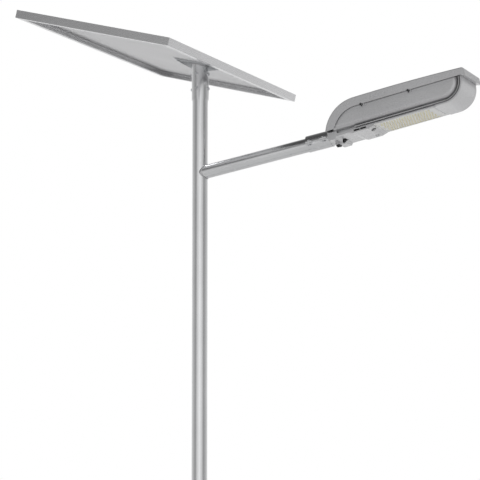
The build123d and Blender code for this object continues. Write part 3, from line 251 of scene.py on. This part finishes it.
def head_paint():
    """Silver-grey powder coat with a fine orange peel."""
    paint = Shader("head_paint", (0.56, 0.56, 0.57), 0.5, 0.28, Coat_Weight=0.25,
                   Coat_Roughness=0.18)
    return paint.finish(paint.noise(5), paint.noise(650), 0.035, 0.22, 0.00006, edge=0.0012,
                        worn=(0.68, 0.68, 0.69))


def clear_glass():
    glass = Shader("module_glass", (0.93, 0.96, 0.97), 0.0, 0.06, Transmission_Weight=1.0, IOR=1.5)
    glass.link(glass.spread(glass.noise(9), 0.04, 0.10), glass.surface.inputs["Roughness"])
    return glass.material


def silicon():
    """Dark blue cell with its fine silver fingers across the ribbons."""
    cell = Shader("silicon", (0.012, 0.022, 0.070), 0.0, 0.22, Coat_Weight=0.6)
    place = cell.node("TexCoord")
    lines = cell.node("TexWave", wave_type="BANDS", bands_direction="Y")
    lines.inputs["Scale"].default_value = 78.0
    cell.link(place.outputs["Object"], lines.inputs["Vector"])
    finger = cell.spread(lines.outputs["Fac"], 0.0, 0.45, 0.90, 1.0)
    clouds = cell.mix(cell.spread(cell.noise(8), 0.0, 1.0), (0.010, 0.018, 0.055),
                      (0.018, 0.034, 0.10))
    cell.link(cell.mix(finger, clouds, (0.45, 0.46, 0.50)), cell.surface.inputs["Base Color"])
    return cell.material


def back_sheet():
    sheet = Shader("back_sheet", (0.80, 0.80, 0.81), 0.0, 0.52)
    return sheet.finish(sheet.noise(3), sheet.noise(900), 0.03, 0.15, 0.00004)


def moulded(name, color, roughness=0.42, shade=0.10):
    """Moulded plastic with a fine spark-eroded texture."""
    plastic = Shader(name, color, 0.0, roughness)
    return plastic.finish(plastic.noise(30), plastic.noise(1400), shade, 0.2, 0.00005, edge=0.0004)


def rubber():
    seal = Shader("seal_rubber", (0.030, 0.030, 0.032), 0.0, 0.65)
    return seal.finish(seal.noise(40), seal.noise(1200), 0.15, 0.15, 0.00006)


def phosphor():
    chip = Shader("led_phosphor", (0.80, 0.73, 0.42), 0.0, 0.35, Coat_Weight=0.5)
    return chip.finish(chip.noise(300), chip.noise(1800), 0.08, 0.2, 0.00003, edge=0.0002)


def silicone():
    dome = Shader("led_silicone", (0.90, 0.84, 0.55), 0.0, 0.12, Coat_Weight=0.4)
    dome.link(dome.spread(dome.noise(700), 0.08, 0.16), dome.surface.inputs["Roughness"])
    return dome.material


def dark_lens():
    lens = Shader("sensor_lens", (0.035, 0.035, 0.040), 0.0, 0.14, Coat_Weight=0.6)
    return lens.finish(lens.noise(60), lens.noise(900), 0.10, 0.3, 0.00003, edge=0.0003)


def tinned_copper():
    ribbon = Shader("ribbon", (0.70, 0.70, 0.72), 1.0, 0.28)
    return ribbon.finish(ribbon.noise(90), ribbon.noise(900), 0.06, 0.3, 0.00002, edge=0.0001)


def floor_paper():
    paper = Shader("floor_paper", (0.86, 0.86, 0.86), 0.0, 0.7)
    return paper.finish(paper.noise(1.5), paper.noise(60), 0.015, 0.1, 0.0001)


def paint_nodes():
    """Gives every CAD node its material."""
    groups = (
        (drawn_steel("post_steel", "Z"), ["pole_tube", "pole_top_sleeve"]),
        (drawn_steel("arm_steel", "X", HEAD_RAKE),
         ["arm_tube", "head_spigot", "clamp_upper_half", "clamp_lower_half"]),
        (plate_steel(), ["base_plate", "base_gussets", "saddle_plate", "saddle_gussets",
                         "battery_straps"]),
        (weld_bead(), ["base_weld", "arm_weld", "sleeve_weld"]),
        (zinc_bolt(), ["sleeve_set_screws", "saddle_bolts", "clamp_bolts", "lid_hinge_pins",
                       "lid_hinge_leaves"]),
        (anodised("frame_across", "X"), ["module_frame_front_end", "module_frame_rear_end",
                                         "mounting_doubler", "heat_sink"]),
        (anodised("frame_along", "Y"), ["module_frame_low_side", "module_frame_high_side",
                                        "module_corner_keys"]),
        (clear_glass(), ["module_glass", "cell_encapsulant"]),
        (silicon(), ["solar_cells"]),
        (back_sheet(), ["module_back_sheet"]),
        (moulded("black_plastic", (0.022, 0.022, 0.024)),
         ["junction_box", "junction_box_lid", "junction_box_glands", "cable_gland",
          "breather_vent", "lid_latch_1", "lid_latch_2"]),
        (head_paint(), ["lid", "latch_catches", "battery_tub", "base_casting", "nose_casting"]),
        (rubber(), ["lid_gasket"]),
        (moulded("battery_wrap", (0.03, 0.09, 0.30), 0.30), ["battery_pack"]),
        (moulded("electronics_case", (0.16, 0.165, 0.175), 0.38),
         ["charge_controller", "led_driver"]),
        (moulded("board_white", (0.86, 0.86, 0.85), 0.45, 0.03), ["led_board", "led_bezel"]),
        (phosphor(), ["led_chips"]),
        (moulded("white_plastic", (0.80, 0.80, 0.80), 0.35, 0.03),
         ["sensor_housing", "power_button_collar"]),
        (dark_lens(), ["sensor_lens"]),
        (moulded("button_plastic", (0.66, 0.68, 0.70), 0.25, 0.04), ["power_button"]),
    )
    for material, names in groups:
        for name in names:
            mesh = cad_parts[name].data
            mesh.materials.clear()
            mesh.materials.append(material)


# ---- pieces -------------------------------------------------------------------------------

def show(thing):
    bpy.context.scene.collection.objects.link(thing)


def new_piece(name, mesh_builder, material, body):
    """Makes a mesh object with the given builder and lets it ride on a body."""
    shape = bmesh.new()
    mesh_builder(shape)
    mesh = bpy.data.meshes.new(name)
    shape.to_mesh(mesh)
    shape.free()
    mesh.materials.append(material)
    piece = bpy.data.objects.new(name, mesh)
    show(piece)
    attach(piece, body)


def module_place():
    """Turns the module's own space, +X down the slope and +Z out of the glass, into place."""
    low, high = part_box("solar_cells")
    return Matrix.Translation((low + high) / 2) @ Matrix.Rotation(MODULE_TILT, 4, "Y")


def build_ribbons(shape):
    """Flat ribbons on the cells, each running the length of one row."""
    low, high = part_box("solar_cells")
    place = module_place()
    width = (high.x - low.x) / math.cos(MODULE_TILT)
    row_pitch = width / CELL_ROWS
    for row in range(CELL_ROWS):
        for count in range(RIBBONS_PER_CELL):
            x = -width / 2 + row_pitch * (row + (count + 0.5) / RIBBONS_PER_CELL)
            spot = place @ Matrix.Translation((x, 0, RIBBON_THICKNESS))
            size = Matrix.Diagonal((RIBBON_WIDTH, high.y - low.y, RIBBON_THICKNESS, 1))
            bmesh.ops.create_cube(shape, size=1.0, matrix=spot @ size)


def islands(mesh):
    """Centres of a mesh's separate lumps."""
    shape = bmesh.new()
    shape.from_mesh(mesh)
    bmesh.ops.remove_doubles(shape, verts=shape.verts, dist=1e-5)
    seen = set()
    centres = []
    for start in shape.verts:
        if start in seen:
            continue
        seen.add(start)
        lump = []
        to_visit = [start]
        while to_visit:
            vert = to_visit.pop()
            lump.append(vert.co.copy())
            for edge in vert.link_edges:
                other = edge.other_vert(vert)
                if other not in seen:
                    seen.add(other)
                    to_visit.append(other)
        centres.append(sum(lump, Vector()) / len(lump))
    shape.free()
    return centres


def build_led_domes(shape):
    """A flat silicone dome under each LED package."""
    rake = Matrix.Rotation(-HEAD_RAKE, 4, "Y")
    to_face = Matrix.Translation((0, 0, -LED_PACKAGE_HEIGHT / 2))
    flat = Matrix.Diagonal((LED_DOME_RADIUS, LED_DOME_RADIUS, LED_DOME_HEIGHT, 1))
    for centre in islands(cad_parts["led_chips"].data):
        place = Matrix.Translation(centre) @ rake @ to_face @ flat
        bmesh.ops.create_uvsphere(shape, u_segments=12, v_segments=8, radius=1.0, matrix=place)
    for face in shape.faces:
        face.smooth = True


# ---- studio -------------------------------------------------------------------------------

def add_camera():
    data = bpy.data.cameras.new("camera")
    data.lens = CAMERA_LENS
    data.sensor_width = 36.0
    camera = bpy.data.objects.new("camera", data)
    camera.location = CAMERA_PLACE
    camera.rotation_euler = (math.radians(90 + CAMERA_PITCH), 0, math.radians(CAMERA_TURN))
    show(camera)
    bpy.context.scene.camera = camera


def add_floor():
    shape = bmesh.new()
    bmesh.ops.create_circle(shape, cap_ends=True, segments=FLOOR_CORNERS, radius=FLOOR_RADIUS)
    mesh = bpy.data.meshes.new("floor")
    shape.to_mesh(mesh)
    shape.free()
    mesh.materials.append(floor_paper())
    floor = bpy.data.objects.new("floor", mesh)
    floor.location.z = frame_bounds[0].z - FLOOR_DROP
    show(floor)


def add_sun():
    data = bpy.data.lights.new("sun", "SUN")
    data.energy = SUN_STRENGTH
    data.angle = math.radians(SUN_SOFTNESS)
    sun = bpy.data.objects.new("sun", data)
    turn_x, turn_y = SUN_TURN
    sun.rotation_euler = (math.radians(turn_x), math.radians(turn_y), 0)
    show(sun)


def world_ramp(tree, source, stops):
    """Brightness by a source from -1 to 1, through the given stops."""
    ranged = tree.nodes.new("ShaderNodeMapRange")
    ranged.inputs["From Min"].default_value = -1.0
    tree.links.new(source, ranged.inputs["Value"])
    ramp = tree.nodes.new("ShaderNodeValToRGB")
    ramp.color_ramp.interpolation = "EASE"
    points = ramp.color_ramp.elements
    while len(points) < len(stops):
        points.new(0.5)
    for point, (where, level) in zip(points, stops):
        point.position = (where + 1) / 2
        point.color = (level, level, level, 1)
    tree.links.new(ranged.outputs["Result"], ramp.inputs["Fac"])
    return ramp.outputs["Color"]


def world_math(tree, operation, *sources):
    node = tree.nodes.new("ShaderNodeMath")
    node.operation = operation
    for socket, source in zip(node.inputs, sources):
        if isinstance(source, float):
            socket.default_value = source
        else:
            tree.links.new(source, socket)
    return node.outputs["Value"]


def add_world():
    """Lights the scene by direction, with dark flags at both sides and a dark ceiling. The camera
    itself sees a plain white backdrop."""
    world = bpy.data.worlds.new("studio")
    bpy.context.scene.world = world
    world.use_nodes = True
    tree = world.node_tree
    tree.nodes.clear()
    place = tree.nodes.new("ShaderNodeTexCoord")
    parts = tree.nodes.new("ShaderNodeSeparateXYZ")
    tree.links.new(place.outputs["Generated"], parts.inputs["Vector"])
    x, y, z = (parts.outputs[axis] for axis in "XYZ")
    turn = math.radians(CAMERA_TURN)
    towards = world_math(tree, "ADD", world_math(tree, "MULTIPLY", x, math.sin(turn)),
                         world_math(tree, "MULTIPLY", y, -math.cos(turn)))
    rest = world_math(tree, "SUBTRACT", 1.0, world_math(tree, "MULTIPLY", z, z))
    level_reach = world_math(tree, "SQRT", world_math(tree, "MAXIMUM", rest, STEEPEST))
    around = world_ramp(tree, world_math(tree, "DIVIDE", towards, level_reach), SURROUND)
    height = world_ramp(tree, z, HEIGHTS)
    level = world_math(tree, "MULTIPLY", around, height)
    light = tree.nodes.new("ShaderNodeBackground")
    light.inputs["Strength"].default_value = WORLD_STRENGTH
    tree.links.new(level, light.inputs["Color"])
    backdrop = tree.nodes.new("ShaderNodeBackground")
    backdrop.inputs["Strength"].default_value = BACKDROP
    backdrop.inputs["Color"].default_value = (1, 1, 1, 1)
    ray = tree.nodes.new("ShaderNodeLightPath")
    choose = tree.nodes.new("ShaderNodeMixShader")
    tree.links.new(ray.outputs["Is Camera Ray"], choose.inputs["Fac"])
    tree.links.new(light.outputs["Background"], choose.inputs[1])
    tree.links.new(backdrop.outputs["Background"], choose.inputs[2])
    output = tree.nodes.new("ShaderNodeOutputWorld")
    tree.links.new(choose.outputs["Shader"], output.inputs["Surface"])


# ---- the scene ----------------------------------------------------------------------------

paint_nodes()
new_piece("cell_ribbons", build_ribbons, tinned_copper(), "module_mount")
new_piece("led_domes", build_led_domes, silicone(), "lamp_head")
add_camera()
add_floor()
add_sun()
add_world()
bpy.context.scene.view_settings.view_transform = "Standard"
